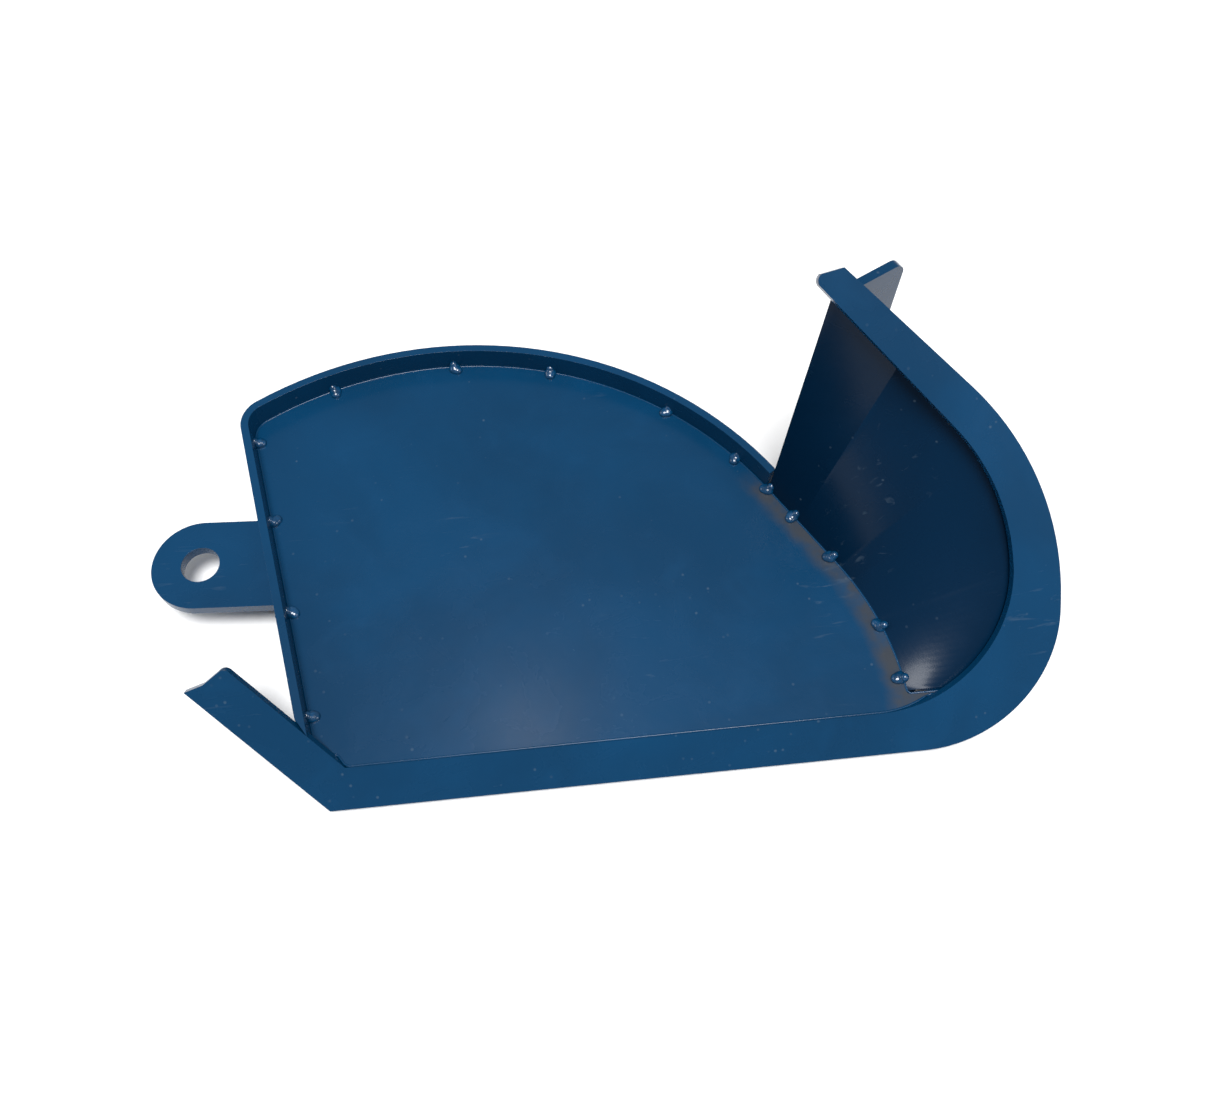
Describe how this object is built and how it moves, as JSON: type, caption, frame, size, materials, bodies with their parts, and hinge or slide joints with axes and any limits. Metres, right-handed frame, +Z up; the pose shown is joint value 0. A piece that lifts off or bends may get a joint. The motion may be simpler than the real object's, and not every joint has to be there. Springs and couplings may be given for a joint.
{
  "type": "welded mud pan",
  "caption": "Welded sheet-steel mud pan with a low rim, a flared side wall, a J-shaped front flange and mounting lugs.",
  "frame": {"origin": "on the floor plate's top face near its middle, 95 mm right of and 60 mm behind the front left corner", "axes": "+X along the front edge to the right, +Y to the back, +Z up from the floor plate"},
  "size_m": [0.2957, 0.1674, 0.1057],
  "materials": {
    "plate_paint": "glossy blue enamel on flat steel plate",
    "wall_paint": "glossy blue enamel on rolled steel sheet",
    "weld_paint": "glossy blue enamel over weld beads"
  },
  "bodies": {
    "root": {"bead_left_lug": "weld_paint", "edge_rim": "plate_paint", "front_flange": "plate_paint", "left_lug": "plate_paint", "pan_plate": "plate_paint", "rear_lug": "plate_paint", "side_wall": "wall_paint", "stitch_front_1": "weld_paint", "stitch_front_2": "weld_paint", "stitch_front_3": "weld_paint", "tack_back_1": "weld_paint", "tack_back_2": "weld_paint", "tack_back_3": "weld_paint", "tack_back_4": "weld_paint", "tack_back_5": "weld_paint", "tack_left_1": "weld_paint", "tack_left_2": "weld_paint", "tack_left_3": "weld_paint", "tack_left_4": "weld_paint", "tack_wall_1": "weld_paint", "tack_wall_2": "weld_paint", "tack_wall_3": "weld_paint", "tack_wall_4": "weld_paint", "tack_wall_5": "weld_paint"}
  },
  "joints": []
}
